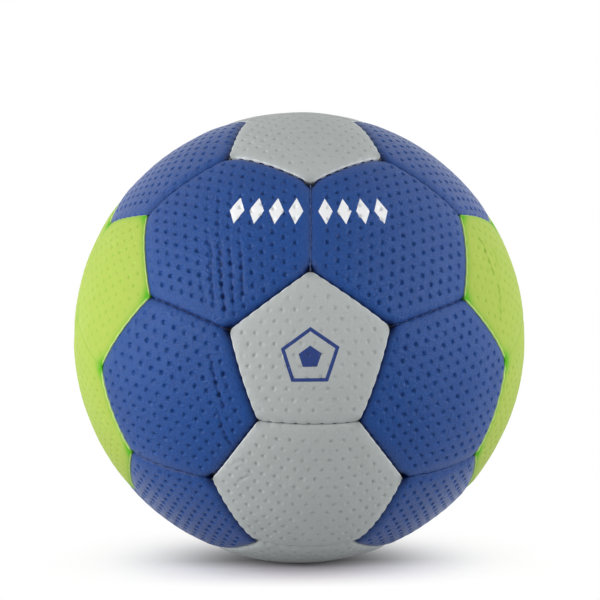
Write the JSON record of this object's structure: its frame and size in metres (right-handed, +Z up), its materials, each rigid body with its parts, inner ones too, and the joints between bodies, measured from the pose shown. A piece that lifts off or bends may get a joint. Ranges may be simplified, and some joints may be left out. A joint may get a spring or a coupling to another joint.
{
  "type": "handball",
  "caption": "Hand-stitched ball of pentagon and hexagon panels in blue, grey and green with fine dimples, over an air bladder with a needle valve at the back.",
  "frame": {"origin": "centre of the ball", "axes": "+Z up as the ball stands in the picture, -Y towards the viewer through the front pentagon, +X to the viewer's right, +Y out of the valve at the back"},
  "size_m": [0.1748, 0.1749, 0.175],
  "materials": {
    "cover_blue": "dimpled synthetic leather, satin, deep royal blue with a faint violet sheen",
    "cover_grey": "finely grained and lightly dimpled synthetic leather, matt, silver grey",
    "cover_green": "finely grained and lightly dimpled synthetic leather, satin, lime green",
    "textile_lining": "bonded cotton and polyester backing cloth, off-white",
    "seam_thread": "waxed twisted polyester thread, dark navy",
    "bladder_rubber": "smooth matt butyl rubber, near black",
    "valve_rubber": "smooth moulded rubber, black",
    "core_rubber": "smooth soft silicone rubber, grey"
  },
  "bodies": {
    "root": {"pentagon_front": "cover_grey", "pentagon_top": "cover_grey", "pentagon_left": "cover_green", "pentagon_right": "cover_green", "pentagon_lower_left": "cover_blue", "pentagon_lower_right": "cover_blue", "pentagon_back": "cover_grey", "pentagon_bottom": "cover_grey", "pentagon_back_left": "cover_green", "pentagon_back_right": "cover_green", "pentagon_upper_left": "cover_blue", "pentagon_upper_right": "cover_blue", "hexagon_front_upper_left": "cover_blue", "hexagon_front_upper_right": "cover_blue", "hexagon_front_left": "cover_blue", "hexagon_front_right": "cover_blue", "hexagon_front_lower": "cover_grey", "hexagon_upper_left": "cover_blue", "hexagon_upper_right": "cover_blue", "hexagon_crown": "cover_grey", "hexagon_side_left": "cover_green", "hexagon_side_right": "cover_green", "hexagon_shoulder_left": "cover_green", "hexagon_shoulder_right": "cover_green", "hexagon_foot_left": "cover_blue", "hexagon_foot_right": "cover_blue", "hexagon_base": "cover_grey", "hexagon_back_lower_left": "cover_blue", "hexagon_back_lower_right": "cover_blue", "hexagon_back_left": "cover_blue", "hexagon_back_right": "cover_blue", "hexagon_back_upper": "cover_grey", "lining_front_upper_left": "textile_lining", "lining_front_upper_right": "textile_lining", "lining_front_left": "textile_lining", "lining_front_right": "textile_lining", "lining_front_lower": "textile_lining", "lining_upper_left": "textile_lining", "lining_upper_right": "textile_lining", "lining_crown": "textile_lining", "lining_side_left": "textile_lining", "lining_side_right": "textile_lining", "lining_shoulder_left": "textile_lining", "lining_shoulder_right": "textile_lining", "lining_foot_left": "textile_lining", "lining_foot_right": "textile_lining", "lining_base": "textile_lining", "lining_back_lower_left": "textile_lining", "lining_back_lower_right": "textile_lining", "lining_back_left": "textile_lining", "lining_back_right": "textile_lining", "lining_back_upper": "textile_lining", "linings_pentagon": "textile_lining", "thread_hexagon_seams": "seam_thread", "thread_pentagon_seams": "seam_thread", "bladder": "bladder_rubber", "balance_patch": "valve_rubber", "valve_body": "valve_rubber", "valve_core": "core_rubber", "valve_patch": "valve_rubber"}
  },
  "joints": []
}
